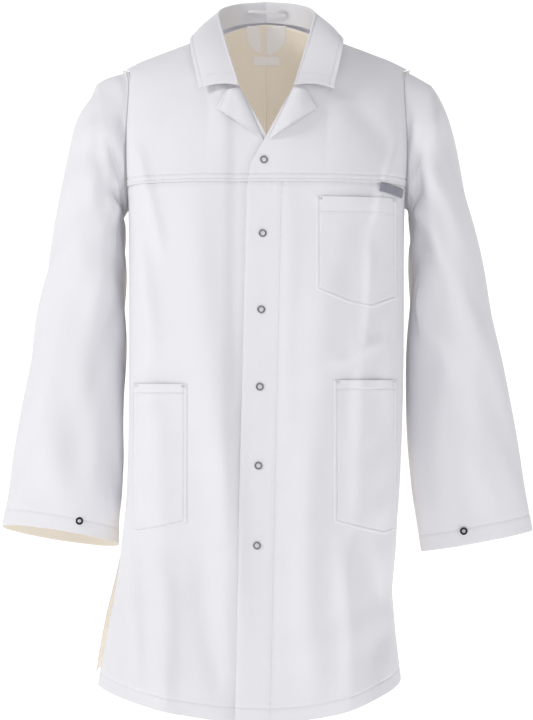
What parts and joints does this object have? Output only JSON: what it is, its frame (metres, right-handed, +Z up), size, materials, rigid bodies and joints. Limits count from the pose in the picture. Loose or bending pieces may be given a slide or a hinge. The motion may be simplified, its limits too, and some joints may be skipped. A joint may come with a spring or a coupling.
{
  "type": "lab_coat",
  "caption": "White lab coat with notched lapels, press-stud front, chest and hip patch pockets, set-in sleeves with adjustable cuffs and a back vent.",
  "frame": {"origin": "middle of the neck opening at the height where the shoulder seams meet the neck", "axes": "+Z up, front faces -Y, +X is the wearer's left"},
  "size_m": [0.7972, 0.3443, 1.0646],
  "materials": {
    "coat_cloth": "matte white cotton-polyester twill",
    "inner_face": "matte cream inner face of the cloth",
    "tape": "smooth woven tape, blank",
    "label_weave": "satin woven label, blank",
    "steel_snaps": "nickel-plated press studs",
    "dark_snaps": "dark nickel press-stud caps"
  },
  "bodies": {
    "root": {"left_back": "coat_cloth", "right_back": "coat_cloth", "back_vent_underlap": "coat_cloth", "left_shoulder_yoke": "coat_cloth", "right_shoulder_yoke": "coat_cloth", "left_side_front": "coat_cloth", "right_side_front": "coat_cloth", "collar_stand": "inner_face", "collar_fall": "coat_cloth", "chest_pocket": "coat_cloth", "inner_chest_pocket": "coat_cloth", "left_hip_pocket": "coat_cloth", "right_hip_pocket": "coat_cloth", "neck_patch": "tape", "care_label": "tape", "woven_label": "label_weave", "hanger_loop": "coat_cloth"},
    "left_front": {"left_yoke_front": "coat_cloth", "left_front_panel": "coat_cloth", "left_facing": "coat_cloth", "left_lapel": "coat_cloth", "snap_1_cap": "steel_snaps", "snap_1_socket": "steel_snaps", "snap_2_cap": "steel_snaps", "snap_2_socket": "steel_snaps", "snap_3_cap": "steel_snaps", "snap_3_socket": "steel_snaps", "snap_4_cap": "steel_snaps", "snap_4_socket": "steel_snaps", "snap_5_cap": "steel_snaps", "snap_5_socket": "steel_snaps", "snap_6_cap": "steel_snaps", "snap_6_socket": "steel_snaps"},
    "right_front": {"right_yoke_front": "coat_cloth", "right_front_panel": "coat_cloth", "right_facing": "coat_cloth", "right_lapel": "coat_cloth", "snap_1_stud": "steel_snaps", "snap_1_back_ring": "steel_snaps", "snap_2_stud": "steel_snaps", "snap_2_back_ring": "steel_snaps", "snap_3_stud": "steel_snaps", "snap_3_back_ring": "steel_snaps", "snap_4_stud": "steel_snaps", "snap_4_back_ring": "steel_snaps", "snap_5_stud": "steel_snaps", "snap_5_back_ring": "steel_snaps", "snap_6_stud": "steel_snaps", "snap_6_back_ring": "steel_snaps"},
    "left_sleeve": {"left_sleeve_front": "coat_cloth", "left_sleeve_back": "coat_cloth", "left_cuff_cap": "dark_snaps", "left_cuff_inner_stud": "steel_snaps", "left_cuff_outer_stud": "steel_snaps"},
    "right_sleeve": {"right_sleeve_front": "coat_cloth", "right_sleeve_back": "coat_cloth", "right_cuff_cap": "dark_snaps", "right_cuff_inner_stud": "steel_snaps", "right_cuff_outer_stud": "steel_snaps"}
  },
  "joints": [
    {"name": "left_front_open", "type": "hinge", "parent": "root", "child": "left_front", "pos_m": [0.0715, -0.15336, -0.35], "axis": [0, 0.04, 0.9992], "range_deg": [0, 60]},
    {"name": "right_front_open", "type": "hinge", "parent": "root", "child": "right_front", "pos_m": [-0.0715, -0.15336, -0.35], "axis": [0, -0.04, -0.9992], "range_deg": [0, 30]},
    {"name": "left_sleeve_raise", "type": "hinge", "parent": "root", "child": "left_sleeve", "pos_m": [0.2155, 0, -0.046], "axis": [0, -1, 0], "range_deg": [0, 50]},
    {"name": "right_sleeve_raise", "type": "hinge", "parent": "root", "child": "right_sleeve", "pos_m": [-0.2155, 0, -0.046], "axis": [0, 1, 0], "range_deg": [0, 50]}
  ],
  "couplings": [
    {"joint": "right_front_open", "follows": "left_front_open", "ratio": 0.5}
  ]
}
